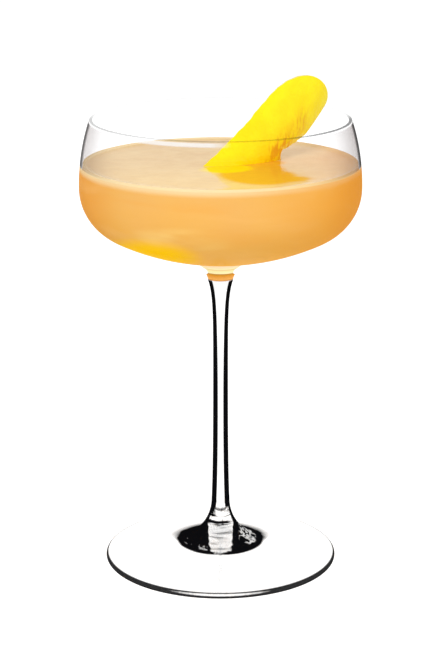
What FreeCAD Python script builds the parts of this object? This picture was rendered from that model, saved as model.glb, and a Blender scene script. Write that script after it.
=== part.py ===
"""Cocktail in a stemmed coupe glass, garnished with one strip of lemon peel.

Millimetres, +Z up. The glass is turned about the Z axis, and the origin is the middle of the foot's
underside. The front is -Y. The peel stands in the drink, leans towards +X and away from the front,
and rests with one long edge over the rim.
"""
import FreeCAD, Part
import math
import os

V = FreeCAD.Vector

# ---- bowl of the glass: sizes are of its outside unless a line says otherwise
glass_height = 161.0
bowl_radius = 49.1            # at its widest
rim_inset = 4.0               # how much narrower the rim is
wall_rise = 24.0              # from the widest place up to the rim
bowl_depth = 50.0             # from the rim down to where the bottom would meet the axis
shoulder_radius = 18.8        # rounding between the wall and the bottom of the bowl
wall = 1.3                    # thickness of the wall and the shoulder
bowl_floor = 2.6              # thickness on the axis, over the stem

# ---- stem
waist_radius = 2.62           # thinnest stretch
stem_foot_swell = 0.63        # how much thicker the stem is where it runs into the foot
stem_top_swell = 3.28         # how much thicker it is at the end of the drawn flare
stem_top_drop = 4.1           # from the bottom of the bowl down to the end of that flare
flare_length = 5.5            # length over which the flare grows by a factor of e
taper_length = 14.0           # length over which the lower swelling dies out upwards
stem_fillet = 7.1             # from the end of the flare out to the bowl, measured level

# ---- foot
foot_radius = 41.6
foot_edge = 2.4               # thickness of the rounded edge
foot_slope = 8.0              # degrees, the top of the foot rising to the stem
foot_flare_radius = 16.3      # hollow between the top of the foot and the stem

# ---- drink
freeboard = 16.0              # from the rim down to the level of the drink

# ---- strip of lemon peel: zest outside, pith inside, in one piece
peel_width = 21.0
peel_thickness = 2.2          # along the middle
peel_edge = 0.4               # along the two long edges, where the knife ran out
peel_cross_radius = 19.7      # rounding across the strip
peel_length_radius = 96.5     # bend along the strip
peel_above = 37.1             # from the crown's middle to the upper end
peel_below = 26.0             # from the crown's middle to the sunk end
peel_end_skew = 4.5           # how far the upper end's highest point lies off the middle
peel_end_round = 24.0         # length of the rounding at the upper end, on the upper long edge
peel_corner_round = 4.2       # the same on the lower long edge
peel_bite_depth = 4.6         # ragged bite in the lower long edge, just over the drink
peel_bite_place = 29.7        # from the upper end to the deepest point of the bite
peel_bite_above = 12.0        # length of the bite's long upper side
peel_bite_below = 3.1         # length of its short lower side
peel_heading = 29.3           # degrees from +X, the way that the strip leans
peel_lean = 40.5              # degrees, its slope over the level
peel_roll = -89.2             # degrees, how far it is rolled on its long axis
peel_rest = 34.0              # from the crown's middle along the strip to where it rests
peel_rest_bearing = 32.5      # degrees from +X, the place on the rim that it rests over
rim_clearance = 0.3           # between the peel's edge and the inner edge of the rim

widest_height = glass_height - wall_rise
bowl_bottom = glass_height - bowl_depth
# The shoulder is a fillet: the bottom under it keeps a dip of at least its own floor's thickness.
shoulder_fillet = min(shoulder_radius, bowl_depth - wall_rise - bowl_floor)
drink_level = glass_height - freeboard


def at(radius, height):
    """A point of a turned outline."""
    return V(radius, 0.0, height)


def on_circle(centre, radius, angle):
    """The point of a circle in the outline's plane, the angle measured from +X towards +Z."""
    return at(centre[0] + radius * math.cos(angle), centre[1] + radius * math.sin(angle))


def arc(centre, radius, start, end):
    """Arc edge of a circle in the outline's plane, from one angle to another."""
    return through(on_circle(centre, radius, start), on_circle(centre, radius, (start + end) / 2),
                   on_circle(centre, radius, end))


def through(start, middle, end):
    """Arc edge through three points."""
    return Part.Arc(start, middle, end).toShape()


def line(start, end):
    return Part.LineSegment(start, end).toShape()


def turned(edges):
    """Solid turned about the Z axis from a closed outline."""
    return Part.Face(Part.Wire(edges)).revolve(V(0, 0, 0), V(0, 0, 1), 360)


def wall_circle():
    """Circle of the bowl's outside wall: through the rim, and upright at the widest place."""
    radius = (rim_inset ** 2 + wall_rise ** 2) / (2 * rim_inset)
    return (bowl_radius - radius, widest_height), radius


def lip_angle():
    """Where the wall's circle ends, so that the top of the rounded lip is at the glass's height."""
    _, radius = wall_circle()
    return math.asin((wall_rise - wall / 2) / (radius - wall / 2))


def bottom_circle(skin, depth):
    """Circle of the bowl's bottom, 'depth' into the glass on the axis, and the angle where it ends.

    Its centre is on the axis, and it runs smoothly into the shoulder's circle, which lies 'skin'
    into the glass.
    """
    reach = bowl_radius - shoulder_fillet
    drop = bowl_depth - wall_rise - depth
    corner = shoulder_fillet - skin
    radius = (reach ** 2 + drop ** 2 - corner ** 2) / (2 * (drop - corner))
    centre = (0.0, bowl_bottom + depth + radius)
    return centre, radius, math.atan2(widest_height - centre[1], reach)


def bowl_edges(skin, depth, bottom_start, top_angle):
    """Edges of one side of the bowl, from the bottom over the shoulder to the wall."""
    centre, radius, meeting = bottom_circle(skin, depth)
    shoulder = (bowl_radius - shoulder_fillet, widest_height)
    wall_centre, wall_radius = wall_circle()
    return [
        arc(centre, radius, bottom_start, meeting),
        arc(shoulder, shoulder_fillet - skin, meeting, 0.0),
        arc(wall_centre, wall_radius - skin, 0.0, top_angle),
    ]


def foot_edges():
    """Edges of the foot, from the axis out to its rounded edge and back up to the stem."""
    slope = math.radians(foot_slope)
    half = foot_edge / 2
    edge_centre = (foot_radius - half, half)
    edge_top = on_circle(edge_centre, half, math.pi / 2 - slope)
    stem_start = waist_radius + stem_foot_swell
    across = stem_start + foot_flare_radius
    height = (edge_top.z + (edge_top.x - across) * math.tan(slope)
              + foot_flare_radius / math.cos(slope))
    flare_centre = (across, height)
    slope_end = on_circle(flare_centre, foot_flare_radius, -math.pi / 2 - slope)
    edges = [
        line(at(0, 0), at(edge_centre[0], 0)),
        arc(edge_centre, half, -math.pi / 2, math.pi / 2 - slope),
        line(edge_top, slope_end),
        arc(flare_centre, foot_flare_radius, -math.pi / 2 - slope, -math.pi),
    ]
    return edges, at(stem_start, height)


def stem_edge(start, end, end_direction):
    """Outline of the stem: a taper up from the foot, a long waist, and a flare up to the bowl."""
    top = bowl_bottom - stem_top_drop
    bottom = start.z

    def radius(height):
        flare = stem_top_swell * math.exp((height - top) / flare_length)
        taper = stem_foot_swell * math.exp((bottom - height) / taper_length)
        return waist_radius + flare + taper

    stations = 10
    heights = [bottom + (top - bottom) * math.sin(math.pi / 2 * step / stations)
               for step in range(1, stations + 1)]
    points = [start] + [at(radius(height), height) for height in heights] + [end]
    curve = Part.BSplineCurve()
    curve.interpolate(Points=points, InitialTangent=V(0, 0, 1), FinalTangent=end_direction)
    return curve.toShape()


def make_glass():
    """Bowl, stem and foot, which are one piece of glass."""
    wall_centre, wall_radius = wall_circle()
    top_angle = lip_angle()
    lip_outside = on_circle(wall_centre, wall_radius, top_angle)
    lip_top = on_circle(wall_centre, wall_radius - wall / 2, top_angle) + V(0, 0, wall / 2)
    lip_inside = on_circle(wall_centre, wall_radius - wall, top_angle)

    centre, radius, _ = bottom_circle(0.0, 0.0)
    join_radius = waist_radius + stem_top_swell + stem_fillet
    join_angle = -math.acos(join_radius / radius)
    join = on_circle(centre, radius, join_angle)
    join_direction = V(-math.sin(join_angle), 0, math.cos(join_angle))

    edges, stem_start = foot_edges()
    edges.append(stem_edge(stem_start, join, join_direction))
    edges += bowl_edges(0.0, 0.0, join_angle, top_angle)
    edges.append(through(lip_outside, lip_top, lip_inside))
    edges += reversed(bowl_edges(wall, bowl_floor, -math.pi / 2, top_angle))
    edges.append(line(at(0, bowl_bottom + bowl_floor), at(0, 0)))
    return turned(edges)


def make_filled_bowl():
    """Everything inside the bowl up to the level of the drink."""
    wall_centre, wall_radius = wall_circle()
    level_angle = math.asin((wall_rise - freeboard) / (wall_radius - wall))
    shore = on_circle(wall_centre, wall_radius - wall, level_angle)
    edges = bowl_edges(wall, bowl_floor, -math.pi / 2, level_angle)
    edges.append(line(shore, at(0, drink_level)))
    edges.append(line(at(0, drink_level), at(0, bowl_bottom + bowl_floor)))
    return turned(edges)


def peel_directions():
    """The strip's directions: along it, across it towards the lower long edge, and out of the zest."""
    heading = math.radians(peel_heading)
    lean = math.radians(peel_lean)
    roll = math.radians(peel_roll)
    along = V(math.cos(lean) * math.cos(heading), math.cos(lean) * math.sin(heading), math.sin(lean))
    level = along.cross(V(0, 0, 1)).normalize()
    upright = level.cross(along)
    across = level * math.cos(roll) + upright * math.sin(roll)
    return along, across, across.cross(along)


def peel_middle(along, across, out):
    """Middle of the strip's crown, so placed that the strip's lower edge rests over the rim."""
    wall_centre, wall_radius = wall_circle()
    rim_inside = on_circle(wall_centre, wall_radius - wall, lip_angle()).x
    bearing = math.radians(peel_rest_bearing)
    rest_radius = rim_inside - rim_clearance
    rest = V(rest_radius * math.cos(bearing), rest_radius * math.sin(bearing), glass_height)
    half = peel_width / 2
    droop = peel_cross_radius - math.sqrt(peel_cross_radius ** 2 - half ** 2)
    bend = peel_rest / peel_length_radius
    reach = (peel_length_radius - droop) * math.sin(bend)
    sink = peel_length_radius - (peel_length_radius - droop) * math.cos(bend)
    return rest - along * reach - across * half + out * sink


def peel_slab(middle, along, across, out):
    """Bent slab with a rounded back, thinned to its long edges: a section swept along the bend."""
    heart = middle - out * peel_cross_radius
    spread = math.asin(peel_width / 2 / peel_cross_radius)

    def spot(radius, angle):
        return heart + (across * math.sin(angle) + out * math.cos(angle)) * radius

    zest = peel_cross_radius
    pith = peel_cross_radius - peel_edge
    section = Part.Face(Part.Wire([
        through(spot(zest, -spread), spot(zest, 0), spot(zest, spread)),
        line(spot(zest, spread), spot(pith, spread)),
        through(spot(pith, spread), spot(zest - peel_thickness, 0), spot(pith, -spread)),
        line(spot(pith, -spread), spot(zest, -spread)),
    ]))
    pivot = middle - out * peel_length_radius
    spare = 1.1
    upper = math.degrees(spare * peel_above / peel_length_radius)
    lower = math.degrees(spare * peel_below / peel_length_radius)
    turn = out.cross(along)
    return section.rotated(pivot, turn, -lower).revolve(pivot, turn, upper + lower)


def peel_outline(middle, along, across, out):
    """Face of the strip's outline, laid under it: rounded end, bite in one edge, blunt sunk end."""
    half = peel_width / 2
    near = half + 1.6
    clear = half + 3.0
    base = middle - out * peel_length_radius / 2

    def spot(length, side):
        return base + along * length + across * side

    end_round = spot(peel_above - peel_end_round, -near)
    end_side = spot(peel_above - 0.27 * peel_end_round, -0.56 * half)
    end_top = spot(peel_above, peel_end_skew)
    corner_side = spot(peel_above - 0.2 * peel_corner_round, 0.88 * half)
    corner = spot(peel_above - peel_corner_round, near)
    bite = peel_above - peel_bite_place
    bite_top = spot(bite + peel_bite_above, clear)
    bite_slope = spot(bite + 0.42 * peel_bite_above, half - 0.66 * peel_bite_depth)
    bite_bottom = spot(bite, half - peel_bite_depth)
    bite_hook = spot(bite - 0.7 * peel_bite_below, half - 0.55 * peel_bite_depth)
    bite_end = spot(bite - peel_bite_below, clear)
    sunk_corner = spot(0.12 * peel_below - peel_below, clear)
    sunk_middle = spot(-1.06 * peel_below, 0)
    sunk_edge = spot(-peel_below, -near)
    return Part.Face(Part.Wire([
        through(end_round, end_side, end_top),
        through(end_top, corner_side, corner),
        line(corner, bite_top),
        through(bite_top, bite_slope, bite_bottom),
        through(bite_bottom, bite_hook, bite_end),
        line(bite_end, sunk_corner),
        through(sunk_corner, sunk_middle, sunk_edge),
        line(sunk_edge, end_round),
    ]))


def make_peel():
    """The strip: its bent slab, cut to the outline."""
    along, across, out = peel_directions()
    middle = peel_middle(along, across, out)
    knife = peel_outline(middle, along, across, out).extrude(out * peel_length_radius)
    return peel_slab(middle, along, across, out).common(knife)


def single(shape):
    """The one solid of a shape, which must hold no other."""
    if len(shape.Solids) != 1:
        raise ValueError("expected one solid, found %d" % len(shape.Solids))
    return shape.Solids[0]


peel = single(make_peel())
pieces = {
    "glass": single(make_glass()),
    "drink": single(make_filled_bowl().cut(peel)),
    "lemon_peel": peel,
}
os.makedirs("parts", exist_ok=True)
for name, piece in pieces.items():
    piece.exportStep("parts/%s.step" % name)
    print("%s: %.0f mm3, valid %s" % (name, piece.Volume, piece.isValid()))
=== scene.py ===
"""A gin cocktail in a coupe glass, with a strip of lemon peel. Metres, +Z up, front is -Y."""
import bpy
import math
import numpy as np
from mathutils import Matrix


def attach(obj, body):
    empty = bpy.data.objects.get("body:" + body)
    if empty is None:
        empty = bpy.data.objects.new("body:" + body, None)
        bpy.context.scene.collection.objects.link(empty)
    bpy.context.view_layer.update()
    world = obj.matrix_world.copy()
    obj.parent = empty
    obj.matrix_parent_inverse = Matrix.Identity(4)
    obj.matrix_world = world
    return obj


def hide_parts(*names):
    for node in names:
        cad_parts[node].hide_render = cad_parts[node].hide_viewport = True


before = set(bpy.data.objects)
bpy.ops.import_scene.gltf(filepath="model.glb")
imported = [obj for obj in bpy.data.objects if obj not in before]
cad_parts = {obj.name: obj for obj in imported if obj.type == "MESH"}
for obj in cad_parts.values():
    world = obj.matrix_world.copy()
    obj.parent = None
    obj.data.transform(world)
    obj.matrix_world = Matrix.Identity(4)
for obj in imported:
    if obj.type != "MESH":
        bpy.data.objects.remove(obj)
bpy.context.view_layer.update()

# ---- Camera: a long lens two thirds of a metre in front of the glass, which looks down on it at
# about 16 degrees.
camera_place, look_down = (-0.0002, -0.6831, 0.27796), 0.2753
scene = bpy.context.scene
scene.view_settings.view_transform = "Standard"
camera_data = bpy.data.cameras.new("camera")
camera_data.lens = 109.16
camera_data.sensor_width = 36.0
camera_data.clip_start = 0.01
camera = bpy.data.objects.new("camera", camera_data)
camera.location = camera_place
camera.rotation_euler = (math.pi / 2 - look_down, 0.0, 0.0)
scene.collection.objects.link(camera)
scene.camera = camera


# ---- Table and studio: a white table top under a white surround, lit softly from all round, with
# a large soft lamp high in front on the left, a weaker one on the right and another behind.
white = (1.0, 1.0, 1.0, 1.0)
surround_light, table_grey, table_glow, table_half = 0.66, (0.80, 0.80, 0.80, 1.0), 0.50, 3.0
lamp_aim = (0.0, 0.0, 0.14)


class Value:
    """A shader socket in an expression. Each operator adds the Math node that works it out."""

    def __init__(self, tree, socket=None):
        self.tree = tree
        self.socket = socket

    def node(self, kind, settings=(), sockets=(), output=0):
        """Another node of the same tree, as one of its outputs or, for None, the node itself."""
        made = self.tree.nodes.new("ShaderNode" + kind)
        for name, setting in dict(settings).items():
            if name == "stops":
                ramp = made.color_ramp
                for spare in range(len(setting) - 2):
                    ramp.elements.new(0.5)
                for stop, (place, colour) in zip(ramp.elements, setting):
                    stop.position = place
                    stop.color = colour
            else:
                setattr(made, name, setting)
        for name, value in dict(sockets).items():
            if isinstance(value, Value):
                self.tree.links.new(value.socket, made.inputs[name])
            else:
                made.inputs[name].default_value = value
        return made if output is None else Value(self.tree, made.outputs[output])

    def maths(self, operation, *values):
        return self.node("Math", {"operation": operation}, enumerate(values))

    def __add__(self, other):
        return self.maths("ADD", self, other)

    def __sub__(self, other):
        return self.maths("SUBTRACT", self, other)

    def __rsub__(self, other):
        return self.maths("SUBTRACT", other, self)

    def __mul__(self, other):
        return self.maths("MULTIPLY", self, other)

    def __truediv__(self, other):
        return self.maths("DIVIDE", self, other)

    def __pow__(self, other):
        return self.maths("POWER", self, other)

    __radd__ = __add__
    __rmul__ = __mul__

    def rises(self, low, high):
        """Smooth step: 0 where the value is under low, 1 over high."""
        return self.node("MapRange", {"interpolation_type": "SMOOTHSTEP"},
                         {"Value": self, "From Min": low, "From Max": high})

    def falls(self, low, high):
        """Smooth step the other way: 1 where the value is under low, 0 over high."""
        return 1 - self.rises(low, high)

    def between(self, low, high, blur):
        """1 between two values and 0 outside them, with edges that wide."""
        return self.rises(low - blur, low + blur) * self.falls(high - blur, high + blur)

    def mixes(self, first, second):
        """First colour where the value is 0, second where it is 1."""
        return self.node("Mix", {"data_type": "RGBA"}, {0: self, 6: first, 7: second}, 2)

    def shaders(self, first, second):
        """First shader where the value is 0, second where it is 1."""
        return self.node("MixShader", (), {0: self, 1: first, 2: second})


def finish(name):
    """A new empty material, and the start of its expressions."""
    made = bpy.data.materials.new(name)
    made.use_nodes = True
    made.node_tree.nodes.clear()
    return made, Value(made.node_tree)


def close(start, shader):
    """Ends the tree in a material output that shows that shader."""
    start.node("OutputMaterial", (), {"Surface": shader}, None)


def surround_ray(start):
    """1 for a ray that shows the surround as such: seen, mirrored or let through."""
    seen, mirrored, let_through = (start.node("LightPath", (), (), name) for name in
                                   ("Is Camera Ray", "Is Glossy Ray", "Is Transmission Ray"))
    return start.node("Math", {"operation": "ADD", "use_clamp": True},
                      {0: seen + mirrored, 1: let_through})


world = bpy.data.worlds.new("studio")
scene.world = world
world.use_nodes = True
world.node_tree.nodes.clear()
studio = Value(world.node_tree)
surround = surround_ray(studio)
backdrop = studio.node("Background", (), {
    "Color": white, "Strength": surround_light + (1 - surround_light) * surround})
studio.node("OutputWorld", (), {"Surface": backdrop}, None)

table_mesh = bpy.data.meshes.new("table_top")
table_mesh.from_pydata([(-table_half, -table_half, 0.0), (table_half, -table_half, 0.0),
                        (table_half, table_half, 0.0), (-table_half, table_half, 0.0)],
                       [], [(0, 1, 2, 3)])
table = bpy.data.objects.new("table_top", table_mesh)
scene.collection.objects.link(table)
table_white, start = finish("table_white")
lit = start.node("BsdfDiffuse", (), {"Color": table_grey})
glow = start.node("Emission", (), {"Color": white, "Strength": table_glow * surround_ray(start)})
close(start, start.node("AddShader", (), {0: lit, 1: glow}))
table_mesh.materials.append(table_white)


def soft_lamp(name, place, aim, size, power):
    """Square lamp that looks from its place towards a point."""
    data = bpy.data.lights.new(name, "AREA")
    data.shape = "SQUARE"
    data.size = size
    data.energy = power
    lamp = bpy.data.objects.new(name, data)
    line = np.array(aim) - np.array(place)
    flat = math.hypot(line[0], line[1])
    lamp.location = place
    lamp.rotation_euler = (math.atan2(flat, -line[2]), 0.0, math.atan2(-line[0], line[1]))
    lamp.visible_glossy = False
    scene.collection.objects.link(lamp)


soft_lamp("key", (-0.28, -0.75, 0.70), lamp_aim, 0.50, 4.4)
soft_lamp("fill", (0.70, -0.35, 0.40), lamp_aim, 0.60, 1.2)
soft_lamp("back", (-0.30, 0.75, 0.55), lamp_aim, 0.60, 1.6)


# ---- Glass: a coupe of clear soda-lime glass, its bowl blown thin, its stem drawn from the bowl
# and its foot pressed flat. It is one surface turned round the axis, finer than the frame's.
glass_height = 0.161
bowl_radius = 0.0491
bowl_depth = 0.050
bowl_floor = 0.0026
wall = 0.0013
wall_rise = 0.024
rim_inset = 0.004
shoulder_radius = 0.0188
waist_radius = 0.00262
stem_foot_swell = 0.00063
taper_length = 0.014
stem_top_swell = 0.00328
flare_length = 0.0055
stem_top_drop = 0.0041
stem_fillet = 0.0071
foot_radius = 0.0416
foot_edge = 0.0024
foot_slope = math.radians(8.0)
foot_flare_radius = 0.0163
widest_height = glass_height - wall_rise
bowl_bottom = glass_height - bowl_depth
wall_bend = (rim_inset ** 2 + wall_rise ** 2) / (2 * rim_inset)
steps_round = 192


def arc(centre, radius, first, last, count):
    """Points (radius, height) on a circle: its centre plus radius times cosine and sine."""
    angle = np.linspace(first, last, count)
    return np.stack([centre[0] + radius * np.cos(angle), centre[1] + radius * np.sin(angle)], 1)


def bowl_side(skin, depth, count, first, last):
    """Bottom, shoulder and wall of the bowl, a skin into the glass.

    The bottom's circle has its centre on the axis and touches the shoulder's circle, so its radius
    is (reach squared + drop squared - corner squared) / (2 x (drop - corner)). The wall's circle
    is upright at the widest place.
    """
    reach = bowl_radius - shoulder_radius
    drop = bowl_depth - wall_rise - depth
    corner = shoulder_radius - skin
    radius = (reach ** 2 + drop ** 2 - corner ** 2) / (2 * (drop - corner))
    centre = (0.0, bowl_bottom + depth + radius)
    meeting = math.atan2(widest_height - centre[1], reach)
    return np.concatenate([
        arc(centre, radius, -math.pi / 2 if first is None else -math.acos(first / radius),
            meeting, count),
        arc((reach, widest_height), corner, meeting, 0.0, count)[1:],
        arc((bowl_radius - wall_bend, widest_height), wall_bend - skin, 0.0, last, count)[1:]])


def stem_side(start_height, end, end_slope):
    """Stem: waist radius plus two exponential swells, then a cubic curve out to the bowl."""
    top = bowl_bottom - stem_top_drop
    height = np.linspace(start_height, top, 60)
    flare = stem_top_swell * np.exp((height - top) / flare_length)
    taper = stem_foot_swell * np.exp((start_height - height) / taper_length)
    drawn = np.stack([waist_radius + flare + taper, height], 1)
    begin, leave = drawn[-1], np.array([stem_top_swell / flare_length, 1.0])
    pull = 1.25 * np.linalg.norm(end - begin)
    t = np.linspace(0.0, 1.0, 24)[1:, None]
    bend = ((2 * t ** 3 - 3 * t ** 2 + 1) * begin + (3 * t ** 2 - 2 * t ** 3) * end
            + (t ** 3 - 2 * t ** 2 + t) * pull * leave / np.linalg.norm(leave)
            + (t ** 3 - t ** 2) * pull * end_slope)
    return np.concatenate([drawn, bend])


def closed_skin(name, rings, poles):
    """Closed surface over a row of equal rings of points.

    A four-sided face joins each two neighbours on a ring to the same two on the next ring, and a
    fan of triangles closes each end at its pole.
    """
    rows, count = rings.shape[:2]
    index = np.arange(rows * count).reshape(rows, count)
    beside = np.roll(index, -1, 1)
    quads = np.stack([index[:-1], beside[:-1], beside[1:], index[1:]], 2).reshape(-1, 4)
    first, last = np.full(count, rows * count), np.full(count, rows * count + 1)
    fans = np.concatenate([np.stack([first, beside[0], index[0]], 1),
                           np.stack([last, index[-1], beside[-1]], 1)])
    mesh = bpy.data.meshes.new(name)
    mesh.from_pydata(np.concatenate([rings.reshape(-1, 3), poles]), [],
                     quads.tolist() + fans.tolist())
    mesh.polygons.foreach_set("use_smooth", np.ones(len(mesh.polygons), bool))
    piece = bpy.data.objects.new(name, mesh)
    scene.collection.objects.link(piece)
    return piece


def turned(name, outline, count):
    """Closed surface: an outline from the axis back to the axis, carried round it in steps.

    A point is (radius x cosine, radius x sine, height); the outline's two ends are poles.
    """
    angle = np.linspace(0.0, 2 * math.pi, count, endpoint=False)
    ring = outline[1:-1]
    points = np.stack([ring[:, :1] * np.cos(angle), ring[:, :1] * np.sin(angle),
                       np.repeat(ring[:, 1:], count, 1)], 2)
    return closed_skin(name, points, [[0.0, 0.0, outline[0, 1]], [0.0, 0.0, outline[-1, 1]]])


half_edge = foot_edge / 2
edge_centre = (foot_radius - half_edge, half_edge)
foot_rim = arc(edge_centre, half_edge, -math.pi / 2, math.pi / 2 - foot_slope, 18)
flare_across = waist_radius + stem_foot_swell + foot_flare_radius
stem_start = (foot_rim[-1, 1] + (foot_rim[-1, 0] - flare_across) * math.tan(foot_slope)
              + foot_flare_radius / math.cos(foot_slope))
foot_flare = arc((flare_across, stem_start), foot_flare_radius,
                 -math.pi / 2 - foot_slope, -math.pi, 36)
foot_top = np.linspace(foot_rim[-1], foot_flare[0], 14)[1:-1]
under = np.linspace((0.0, 0.0), (edge_centre[0], 0.0), 12)[:-1]
join_radius = waist_radius + stem_top_swell + stem_fillet
lip_angle = math.asin((wall_rise - wall / 2) / (wall_bend - wall / 2))
outside = bowl_side(0.0, 0.0, 36, join_radius, lip_angle)
join_slope = (outside[1] - outside[0]) / np.linalg.norm(outside[1] - outside[0])
inside = bowl_side(wall, bowl_floor, 36, None, lip_angle)
lip_middle = (outside[-1] + inside[-1]) / 2
lip_turn = math.atan2(outside[-1, 1] - lip_middle[1], outside[-1, 0] - lip_middle[0])
lip = arc(lip_middle, wall / 2, lip_turn, lip_turn + math.pi, 14)[1:-1]
glass = turned("coupe_glass", np.concatenate([
    under, foot_rim, foot_top, foot_flare[:-1], stem_side(stem_start, outside[0], join_slope),
    outside[1:], lip, inside[::-1]]), steps_round)


def tone(red, green, blue):
    """Linear colour of a display colour given in 0 to 255: a power curve with a straight foot."""
    share = np.array([red, green, blue]) / 255.0
    curve = np.where(share <= 0.04045, share / 12.92, ((share + 0.055) / 1.055) ** 2.4)
    return (*curve.tolist(), 1.0)


def position(start, axes):
    """Object coordinates of a point: the whole vector, then its share along each named axis."""
    place = start.node("TexCoord", (), (), "Object")
    split = start.node("SeparateXYZ", (), {0: place}, None)
    return (place, *(Value(start.tree, split.outputs[axis]) for axis in axes))


def grain(place, stretch, detail, distortion=0.0):
    """Noise of 0 to 1 in long or flat lumps: each axis is scaled by its own share of stretch."""
    scaled = place.node("Mapping", (), {"Vector": place, "Scale": stretch})
    return place.node("TexNoise", (), {"Vector": scaled, "Scale": 1.0, "Detail": detail,
                                       "Distortion": distortion}, 0)


def banded(value, low, high, stops):
    """Colour along a value from low to high: each stop is a value and its colour there."""
    return value.node("ValToRGB", {"stops": [((stop - low) / (high - low), colour)
                                             for stop, colour in stops]},
                      {"Fac": (value - low) / (high - low)}, "Color")


clear_glass, start = finish("clear_glass")
place, across, deep, height = position(start, "XYZ")
radius = (across * across + deep * deep) ** 0.5
aslant = start.node("LayerWeight", (), {"Blend": 0.5}, "Facing")
outer_face = 1 - start.node("NewGeometry", (), (), "Backfacing")
streaks = grain(place, (700.0, 700.0, 90.0), 2.0)
rings = grain(place, (90.0, 90.0, 1100.0), 3.0)
highlight_grain = grain(place, (330.0, 330.0, 420.0), 2.0, 1.2)
# Thick glass bends the light so far that its sides show the dark of the room; here that dark is
# painted on as shade: the stem, the knuckle and the cone under it, and the edge of the foot. Each
# has its zone by height and radius, and is painted dark in it where its face turns aslant. First
# come the heights between the zones.
cone_low, knuckle_low, cone_high, stem_low, stem_high = 0.0040, 0.0088, 0.0150, 0.0195, 0.1041
# The stem's painted dark bands leave it clear in its middle, least so at its waist. Its flare
# leans away, so its sides are painted dark later: that lean grows as an exponential with the
# height.
waist_height, swell_height, swell_length = 0.062, 0.1069, 0.0052
swell = 0.30 * start.node("Math", {"operation": "EXPONENT"},
                          {0: (height - swell_height) / swell_length})
clear_share = 0.095 + 0.055 * ((height - waist_height) / 0.030) ** 2.0 * (
    0.4 + 0.6 * height.rises(0.050, 0.070))
stem_zone = radius.falls(0.0118, 0.0126) * height.between(stem_low, stem_high, 0.0004)
stem_dark = stem_zone * (aslant - swell - clear_share).rises(0.0, 0.03)
# Painted shade on the knuckle: faint rings and streaks, and a darker patch at its upper left.
knuckle_zone = radius.falls(0.0052, 0.0060) * height.between(knuckle_low, stem_low, 0.0006)
knuckle_shade_patch = across.falls(-0.0024, -0.0012) * height.rises(0.0155, 0.0175)
knuckle_dark = knuckle_zone * (aslant.rises(0.34, 0.46) + 0.75 * rings.rises(0.51, 0.60)
                               + 0.6 * streaks.rises(0.56, 0.66) + 0.8 * knuckle_shade_patch)
# The cone is painted dark, with a painted grey strip in its middle, which ends where the face
# turns aslant by the share that belongs to its radius, and painted highlights at its sides, where
# the dark is left off. Its painted rim is blurred at the back.
strip_share = banded(radius, 0.0, 0.016, [
    (stop, (slant, slant, slant, 1.0)) for stop, slant in
    ((0.0048, 0.505), (0.0062, 0.250), (0.0080, 0.186), (0.0100, 0.208), (0.0120, 0.266),
     (0.0140, 0.343), (0.0152, 0.395))])
cone_rim_blur = 0.0004 + 0.0032 * deep.rises(-0.003, 0.008)
cone_zone = (radius.rises(0.0046, 0.0054) * radius.falls(0.0150 - 0.5 * cone_rim_blur, 0.0154 + 1.6 * cone_rim_blur)
             * height.between(cone_low, cone_high, 0.0005))
right_highlights = across.between(0.0066, 0.0128, 0.0010) * deep.between(-0.0075, 0.0055, 0.0010)
left_highlights = (across.falls(-0.0052, -0.0040) * deep.falls(-0.004, 0.000)
               * radius.between(0.0118, 0.0138, 0.0006))
cone_highlights = highlight_grain.rises(0.48, 0.55) * (0.95 * right_highlights + 0.8 * left_highlights)
cone_dark = (cone_zone * (aslant + 0.03 * (streaks - 0.5) - strip_share).rises(-0.012, 0.004)
             * (1 - 0.85 * cone_highlights))
front_line = radius.between(0.0142, 0.0152, 0.0004) * deep.falls(-0.006, -0.002)
strip_grey = cone_zone * (0.24 + 0.50 * rings.rises(0.46, 0.64) + 0.35 * front_line)
# The edge of the foot is painted dark, quickly to both sides, and has a faint painted line
# along its back.
foot_zone = radius.rises(0.0399, 0.0403) * height.falls(0.0022, foot_edge)
foot_back = (radius.rises(0.0398, 0.0402) * height.rises(0.0018, 0.0023)
             * height.falls(0.0026, 0.0027) * deep.rises(0.006, 0.024))
foot_dark = 0.30 * foot_back + foot_zone * (
    0.14 + 0.84 * (aslant + 0.05 * (streaks - 0.5)).rises(0.010, 0.105))
# The bare wall over the drink has a painted dark line down each side and one round its rim,
# and painted shade towards its edges, rosy as a painted reflection of the drink. Only the outer
# half of the wall carries them.
wall_low, wall_high, rim_height = 0.1453, 0.1602, 0.1605
outer_skin = (((radius + wall_bend - bowl_radius) ** 2.0 + (height - widest_height) ** 2.0) ** 0.5
              ).rises(wall_bend - 0.7 * wall, wall_bend - 0.4 * wall)
wall_zone = height.between(wall_low, wall_high, 0.0004) * outer_skin
side_line = aslant.rises(0.77, 0.86) * (0.78 + 0.08 * across.rises(0.0, 0.03))
rim_sides = 0.14 * across.falls(-0.036, -0.018) + 0.42 * across.rises(0.018, 0.036)
rim_line = height.rises(rim_height, rim_height + 0.0003) * (
    0.14 + deep.falls(-0.004, 0.010) * (0.16 + rim_sides))
wall_shade = (0.36 * aslant.rises(0.28, 0.85) * (0.95 + 0.20 * across.rises(-0.02, 0.03))
        + 0.13 * across.rises(0.030, 0.045) + 0.12 * across.falls(-0.046, -0.034))
# All the painted shade on the glass together, laid on as a near-black diffuse.
dark = (stem_dark + knuckle_dark + cone_dark + strip_grey + foot_dark + wall_zone * side_line
        + rim_line) * outer_face
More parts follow.
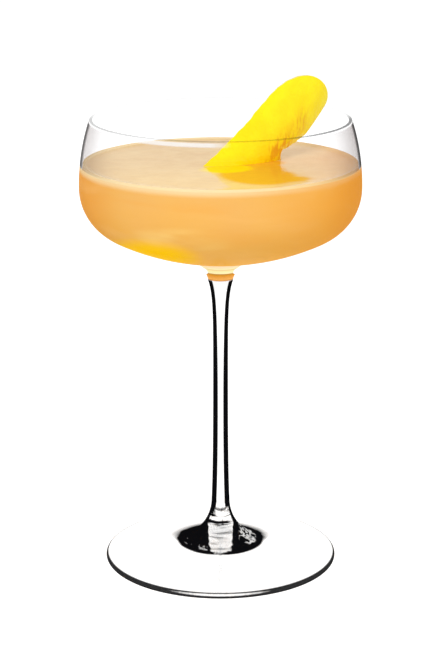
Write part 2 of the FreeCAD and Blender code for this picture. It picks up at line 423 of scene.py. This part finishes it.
# The neck under the bowl's thick floor is painted with the colour of the drink, as the floor
# would bend it down into the stem, and glows a little: an orange collar with a cream one over it.
neck_high = 0.1110
neck_taper = (0.10 * height.rises(0.1060, 0.1084) - 0.28 * height.rises(0.1084, 0.1096)
              - 0.25 * height.falls(0.1058, 0.1070))
neck_slant = aslant - swell + neck_taper
neck_zone = (radius.falls(0.0108, 0.0122) * height.between(stem_high, neck_high, 0.0002)
             * neck_slant.falls(0.26, 0.34) * outer_face)
bent_drink_colour = banded(height, 0.1040, 0.1100, (
    (0.1040, tone(196, 118, 30)), (0.1048, tone(238, 174, 84)), (0.1063, tone(220, 144, 30)),
    (0.1069, tone(188, 132, 34)), (0.1073, tone(254, 246, 190)), (0.1083, tone(252, 232, 168)),
    (0.1087, tone(226, 206, 140)), (0.1091, tone(254, 240, 190)), (0.1097, tone(252, 224, 180))))

glass_ior = 1.5
open_glass = start.node("BsdfGlass", (), {"Color": white, "Roughness": 0.0, "IOR": glass_ior})
wet_glass = start.node("BsdfRefraction", (), {"Color": white, "Roughness": 0.0,
                                              "IOR": glass_ior})
see_through = start.node("BsdfTransparent", (), {"Color": white})
shade = start.node("BsdfDiffuse", (), {"Color": (0.004, 0.004, 0.005, 1.0)})
# Painted reflection of the drink in the wall's shade: a dark rosy colour.
reflected_drink_shade = start.node("BsdfDiffuse", (), {"Color": (0.13, 0.05, 0.04, 1.0)})
mirror = start.node("BsdfGlossy", (), {"Color": white, "Roughness": 0.05})
# Painted image of the bent drink, with a painted glow.
bent_drink_paint = start.node("BsdfPrincipled", (), {
    "Base Color": bent_drink_colour, "Roughness": 0.5, "IOR": 1.05,
    "Emission Color": bent_drink_colour, "Emission Strength": 0.25})
# Glass that is wet with the drink bends light and mirrors almost none. The bare wall and the
# skin round the neck are so thin that light goes straight through, and the lip has one painted
# highlight: a mirror laid on its front left only.
wet = 0.97 * height.between(0.1125, 0.1590, 0.0006)
wall_clear = start.node("Math", {"operation": "MAXIMUM"}, {
    0: height.rises(0.1452, 0.1454), 1: height.rises(0.1375, 0.1380) * (1 - outer_face)})
neck_face = outer_face * height.falls(0.1109, 0.1111) * neck_slant.falls(0.28, 0.34)
flare_clear = (radius.between(0.0046, 0.0132, 0.0003) * height.between(0.1037, 0.1114, 0.0002)
               * (1 - neck_face))
lip_gleam = 0.75 * (height.between(0.1591, 0.1604, 0.0003) * outer_face * outer_skin
                    * across.falls(-0.004, 0.004) * deep.falls(-0.034, -0.020))
bent = wet.shaders(open_glass, wet_glass)
bent = (neck_zone * 0.98).shaders(bent, bent_drink_paint)
bent = (wall_clear + flare_clear).shaders(bent, see_through)
bent = (wall_zone * wall_shade * outer_face).shaders(bent, reflected_drink_shade)
bent = dark.shaders(lip_gleam.shaders(bent, mirror), shade)
lamp_ray = start.node("LightPath", (), (), "Is Shadow Ray")
bounce_ray = start.node("LightPath", (), (), "Is Diffuse Ray")
close(start, start.node("Math", {"operation": "MAXIMUM"}, {0: lamp_ray, 1: bounce_ray}).shaders(
    bent, see_through))
glass.data.materials.append(clear_glass)
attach(glass, "root")
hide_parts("glass")


# ---- Drink: gin shaken with citrus and strained, so it is hazy with pulp and carries a thin froth
# where it meets the glass. It fills the bowl and reaches just into the wall, so no air shows.
freeboard = 0.016
drink_level = glass_height - freeboard
wet_in = 0.0003
meniscus_rise = 0.0007
meniscus_width = 0.0016
level_angle = math.asin((drink_level + meniscus_rise - widest_height) / (wall_bend - wall + wet_in))
drink_side = bowl_side(wall - wet_in, bowl_floor - wet_in, 30, None, level_angle)
shore = drink_side[-1, 0]
surface_radius = shore * (1 - np.linspace(0.0, 1.0, 90)[1:] ** 1.6)
surface = np.stack([surface_radius, drink_level + meniscus_rise
                    * np.exp((surface_radius - shore) / meniscus_width)], 1)
drink = turned("hazy_drink", np.concatenate([drink_side, surface]), steps_round)


def soft_patch(points, centre, reach, turn, blur):
    """Share from 1 inside a turned ellipse on the surface to 0 outside it, over a blurred edge."""
    x = points[:, 0] - centre[0]
    y = points[:, 1] - centre[1]
    spread = np.hypot((x * math.cos(turn) + y * math.sin(turn)) / reach[0],
                      (y * math.cos(turn) - x * math.sin(turn)) / reach[1])
    share = ((1 + blur - spread) / (2 * blur)).clip(0.0, 1.0)
    return share * share * (3 - 2 * share) * (points[:, 2] > drink_level - 0.001)


# Painted on the drink's top: the sunk end of the peel in yellow, as seen through the cloudy
# drink, and the peel's painted shade and reflection in orange.
# Both end at the curve along which the peel meets the surface: its places are
# 19 x across squared + 0.145 x across - 0.0047. A patch is its centre, reaches, turn and blur.
shade_patches = (((0.0125, -0.0205), (0.0125, 0.0165), 0.35, 0.14),
                 ((0.0125, -0.0095), (0.0095, 0.0125), 0.00, 0.14),
                 ((0.0165, 0.0005), (0.0062, 0.0048), 0.55, 0.20),
                 ((0.0225, -0.0270), (0.0080, 0.0046), 0.15, 0.30))
sunk_patch = ((0.0022, -0.0094), (0.0088, 0.0068), 0.40, 0.22)
spots = np.empty(len(drink.data.vertices) * 3)
drink.data.vertices.foreach_get("co", spots)
spots = spots.reshape(-1, 3)
peel_line = 19.0 * spots[:, 0] ** 2 + 0.145 * spots[:, 0] - 0.0047
in_front = ((peel_line + 0.0018 - spots[:, 1]) / 0.0012).clip(0.0, 1.0)
stain = drink.data.attributes.new("stain", "FLOAT", "POINT")
stain.data.foreach_set("value", in_front * np.max(
    [soft_patch(spots, *patch) for patch in shade_patches], 0))
sunk = drink.data.attributes.new("sunk", "FLOAT", "POINT")
sunk.data.foreach_set("value", in_front * soft_patch(spots, *sunk_patch))


def glint(across, height, centre, reach, edge):
    """Soft oval on the front: 1 at its centre, falling with the square of the distance in
    reaches, to 0 where that square passes the edge."""
    spread = ((across - centre[0]) / reach[0]) ** 2.0 + ((height - centre[1]) / reach[1]) ** 2.0
    return spread.falls(0.0, edge)


hazy_drink, start = finish("hazy_drink")
place, across, deep, height = position(start, "XYZ")
radius = (across * across + deep * deep) ** 0.5
sideways = (across * across) ** 0.5
front = deep.falls(-0.010, 0.004)
cloud = start.node("TexNoise", (), {"Vector": place, "Scale": 45.0, "Detail": 4.0}, 0)
wisps = start.node("TexNoise", (), {"Vector": place, "Scale": 260.0, "Detail": 3.0}, 0)
swirls = grain(place, (24.0, 24.0, 105.0), 3.0, 0.6)
froth_thins = 1 - 0.75 * across.rises(-0.010, 0.044)
# Through the glass: paler above, cloudy, deeper in colour at the right and low on the left,
# with painted shade at both sides, pulp in slow swirls, a painted glow and a painted sheen low
# on the left, and froth on top.
glow = glint(across, height, (-0.0215, 0.1205), (0.0120, 0.0055), 2.2) * front
sheen = glint(across, height, (-0.0120, 0.1285), (0.0140, 0.0034), 2.0) * front
body = height.rises(0.116, 0.143).mixes(tone(247, 182, 84), tone(236, 178, 98))
for share, tint in (
        ((cloud - 0.35) * 0.9, tone(243, 186, 84)),
        (0.8 * across.rises(0.005, 0.046), tone(246, 167, 58)),
        (0.5 * across.falls(-0.046, -0.018) * height.falls(0.120, 0.136), tone(242, 172, 58)),
        # Painted shade at both sides.
        (0.6 * sideways.rises(0.030, 0.0475), tone(239, 153, 52)),
        (0.22 * swirls.rises(0.48, 0.72), tone(252, 200, 124)),
        (0.22 * swirls.falls(0.28, 0.50), tone(238, 158, 56)),
        # Painted glow and painted sheen.
        (glow, tone(255, 200, 6)),
        (0.5 * sheen * (0.2 + 1.1 * swirls.rises(0.36, 0.62)), tone(255, 216, 132)),
        (0.85 * height.rises(0.1425, 0.1445) * froth_thins, tone(242, 212, 160))):
    body = share.mixes(body, tint)
# Painted glow: the low part of the drink gives off a little orange light, and the glow a yellow
# one, as if light came through the cloudy drink.
low_light = height.rises(0.1125, 0.1260).mixes(tone(255, 176, 60), tone(0, 0, 0))
# From above: paler in front, pinker at the right and duller at the left, then the peel's
# painted shade and reflection, the painted sunk end of the peel and the froth along the glass.
froth = radius.rises(shore - 0.0022, shore - 0.0006) * froth_thins
top_tint = (0.75 * cloud + 0.25 * wisps).rises(0.35, 0.66).mixes(tone(227, 186, 124),
                                                              tone(238, 204, 144))
for share, tint in (
        (0.55 * deep.falls(-0.044, 0.006), tone(252, 214, 138)),
        (0.6 * across.rises(0.018, 0.047), tone(236, 176, 112)),
        (0.5 * across.falls(-0.044, -0.022), tone(220, 180, 122)),
        # Painted shade and reflection of the peel.
        (0.92 * start.node("Attribute", {"attribute_name": "stain"}, (), "Fac"),
         tone(240, 172, 14)),
        (0.95 * start.node("Attribute", {"attribute_name": "sunk"}, (), "Fac"),
         tone(252, 222, 8)),
        (0.8 * froth, tone(246, 222, 176))):
    top_tint = share.mixes(top_tint, tint)
ripple = start.node("Bump", (), {"Strength": 0.12, "Distance": 0.0006, "Height": wisps})
inside_glass = start.node("BsdfPrincipled", (), {
    "Base Color": body, "Roughness": 0.3, "Specular IOR Level": 0.0,
    "Emission Color": glow.mixes(low_light, tone(255, 190, 0)), "Emission Strength": 0.12})
in_air = start.node("BsdfPrincipled", (), {
    "Base Color": top_tint, "Roughness": 0.10 + 0.25 * froth, "IOR": 1.15, "Normal": ripple})
close(start, height.rises(drink_level - 0.0004, drink_level - 0.0001).shaders(inside_glass, in_air))
drink.data.materials.append(hazy_drink)
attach(drink, "root")
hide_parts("drink")


# ---- Lemon peel: one strip pared from a lemon with a knife, yellow zest outside and white pith
# inside, thinner at its long edges. It stands in the drink and leans out over the rim.
peel_width = 0.0210
peel_thickness = 0.0022
peel_edge = 0.0004
cross_radius = 0.0197
length_radius = 0.0965
peel_above = 0.0371
peel_below = 0.0260
end_skew = 0.0045
end_round = 0.0240
corner_round = 0.0042
bite_depth = 0.0046
bite_place = 0.0297
bite_above = 0.0120
bite_below = 0.0031
heading = math.radians(29.3)
lean = math.radians(40.5)
roll = math.radians(-89.2)
rest_along = 0.0340
rest_bearing = math.radians(32.5)
rim_clearance = 0.0003
half = peel_width / 2
along = np.array([math.cos(lean) * math.cos(heading), math.cos(lean) * math.sin(heading),
                  math.sin(lean)])
level = np.cross(along, (0.0, 0.0, 1.0))
level /= np.linalg.norm(level)
lower = level * math.cos(roll) + np.cross(level, along) * math.sin(roll)
out = np.cross(lower, along)
droop = cross_radius - math.sqrt(cross_radius ** 2 - half ** 2)
bend = rest_along / length_radius
rest_radius = inside[-1, 0] - rim_clearance
middle = (np.array([rest_radius * math.cos(rest_bearing), rest_radius * math.sin(rest_bearing),
                    glass_height])
          - along * (length_radius - droop) * math.sin(bend) - lower * half
          + out * (length_radius - (length_radius - droop) * math.cos(bend)))


def waves(values, seed, scales, count):
    """Smooth wander of a line: sines of several lengths, with seeded shares and starts."""
    dice = np.random.default_rng(seed)
    total = np.zeros_like(values)
    for size in np.linspace(scales[0], scales[1], count):
        total += dice.uniform(-1, 1) * np.sin(values / size + dice.uniform(0, 6.28))
    return total / math.sqrt(count)


def peel_sides(length):
    """Upper and lower long edge of the strip at each place along it.

    The upper edge falls to the end in a quarter of a squashed circle; the lower one has a small
    rounded corner there, and a ragged bite shaped like a lopsided V just over the drink.
    """
    to_end = np.clip((length - (peel_above - end_round)) / end_round, 0.0, 1.0)
    high = -half + (half + end_skew) * (1 - np.sqrt(1 - to_end ** 2.4))
    to_corner = np.clip((length - (peel_above - corner_round)) / corner_round, 0.0, 1.0)
    low = half - (half - end_skew) * (1 - np.sqrt(1 - to_corner ** 2.2))
    bite = peel_above - bite_place
    cut = np.interp(length, [bite - bite_below, bite - 0.5 * bite_below, bite,
                             bite + 0.4 * bite_above, bite + bite_above],
                    [0.0, 0.75, 1.0, 0.55, 0.0]) * bite_depth
    torn = cut / bite_depth
    low = low - cut + torn * waves(length, 5, (0.00022, 0.0007), 9) * 0.00035
    return high + waves(length, 3, (0.0007, 0.004), 6) * 0.00018, low


def peel_points(length, side, depth):
    """Place in the strip: along it, across it, and down from the zest.

    The strip is a patch of a ring: across it drops by the cross circle, and along it by the
    length circle, whose radius shrinks by that drop and by the depth.
    """
    drop = cross_radius - np.sqrt(cross_radius ** 2 - side ** 2)
    radius = length_radius - drop - depth
    fall = length_radius - np.sqrt(radius ** 2 - length ** 2)
    return (middle + along * length[..., None] + lower * side[..., None]
            - out * fall[..., None])


rows, columns, end_gap = 260, 72, 0.00002
share = np.linspace(0.0, 1.0, rows)
length = -peel_below + (peel_above + peel_below - end_gap) * np.sin(share * math.pi / 2)
high, low = peel_sides(length)
cross = 0.5 - 0.5 * np.cos(np.linspace(0.0, 1.0, columns) * math.pi)
side = high[:, None] + (low - high)[:, None] * cross
far = np.repeat(length[:, None], columns, 1)
thick = peel_edge + (peel_thickness - peel_edge) * (1 - (side / half) ** 2).clip(0.0)
rim_round = np.minimum(1.0, 4.0 * np.minimum(cross, 1 - cross))
dent = 0.00006 * (1 - rim_round)
zest = peel_points(far, side, dent + 0.00004 * waves(far + 0.7 * side, 8, (0.0008, 0.002), 5))
pith = peel_points(far, side, thick - dent + 0.00008 * waves(far - side, 9, (0.0006, 0.0016), 6))
loop = np.concatenate([zest, pith[:, ::-1]], 1)
peel = closed_skin("lemon_peel_strip", loop, [loop[0].mean(0), loop[-1].mean(0)])

# The knife's cut bares the pith inside and along the edge of the bite, where the zest is torn
# back. Painted shade, orange as from the drink, lies round the bite and on its cut face: it
# fades as a bell curve along the strip and across it.
torn_width, cut_width = 0.0016, 0.0011
bite_middle = peel_above - bite_place
is_pith = np.concatenate([np.zeros((rows, columns)), np.ones((rows, columns))], 1)
is_torn = ((np.abs(length - (bite_middle + 0.3 * bite_above)) < 0.62 * bite_above)[:, None]
           * (low[:, None] - side < torn_width))
cut_face = ((np.abs(length - (bite_middle + 0.25 * bite_above)) < 0.85 * bite_above)[:, None]
            * (1 - (low[:, None] - side) / cut_width).clip(0.0, 1.0))
is_pith[:, :columns] = 0.25 * is_torn
is_pith[:, columns:] -= 0.85 * cut_face[:, ::-1].clip(0.0, 0.5) * 2
bruise = (np.exp(-((far - bite_middle + 0.001) / 0.0066) ** 2 - ((side - 0.0058) / 0.0044) ** 2)
          + 0.45 * np.exp(-((far - 0.0195) / 0.0042) ** 2 - ((side - 0.0046) / 0.0034) ** 2))
pithy = peel.data.attributes.new("pith", "FLOAT", "POINT")
pithy.data.foreach_set("value", np.append(is_pith.ravel(), [0.5, 0.5]))
bite_shade_layer = peel.data.attributes.new("bruise", "FLOAT", "POINT")
bite_shade_layer.data.foreach_set("value", np.append(
    np.concatenate([bruise, 0.9 * cut_face[:, ::-1]], 1).ravel(), [0.0, 0.0]).clip(0.0, 1.0))

lemon_zest, start = finish("lemon_zest")
place, height = position(start, "Z")
pores = start.node("TexVoronoi", {"feature": "SMOOTH_F1"},
                   {"Vector": place, "Scale": 820.0, "Smoothness": 0.5}, 0)
patches = start.node("TexNoise", (), {"Vector": place, "Scale": 160.0, "Detail": 4.0}, 0)
fibres = grain(place, (900.0, 900.0, 260.0), 3.0)
under_zest = start.node("Attribute", {"attribute_name": "pith"}, (), "Fac")
bruise = start.node("Attribute", {"attribute_name": "bruise"}, (), "Fac")
soaked = height.falls(drink_level + 0.0005, drink_level + 0.0045)
# Yellow in two shades, darker in the pores, over it the pith, the painted shade at the bite and
# the soaked foot.
colour = patches.rises(0.35, 0.7).mixes(tone(252, 226, 8), tone(255, 236, 14))
for share, tint in (
        (0.12 * pores.falls(0.1, 0.45), tone(244, 208, 6)),
        (0.9 * under_zest, tone(253, 240, 176)),
        # Painted shade at the bite.
        (bruise * (0.42 + 1.1 * fibres.rises(0.44, 0.58)), tone(232, 164, 14)),
        (0.3 * soaked, tone(246, 206, 16))):
    colour = share.mixes(colour, tint)
bumps = start.node("Bump", (), {"Strength": 0.45, "Distance": 0.00025,
                                "Height": pores + 0.4 * patches})
close(start, start.node("BsdfPrincipled", (), {
    "Base Color": colour, "Roughness": 0.45 - 0.2 * soaked, "IOR": 1.30, "Normal": bumps}))
peel.data.materials.append(lemon_zest)
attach(peel, "root")
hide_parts("lemon_peel")
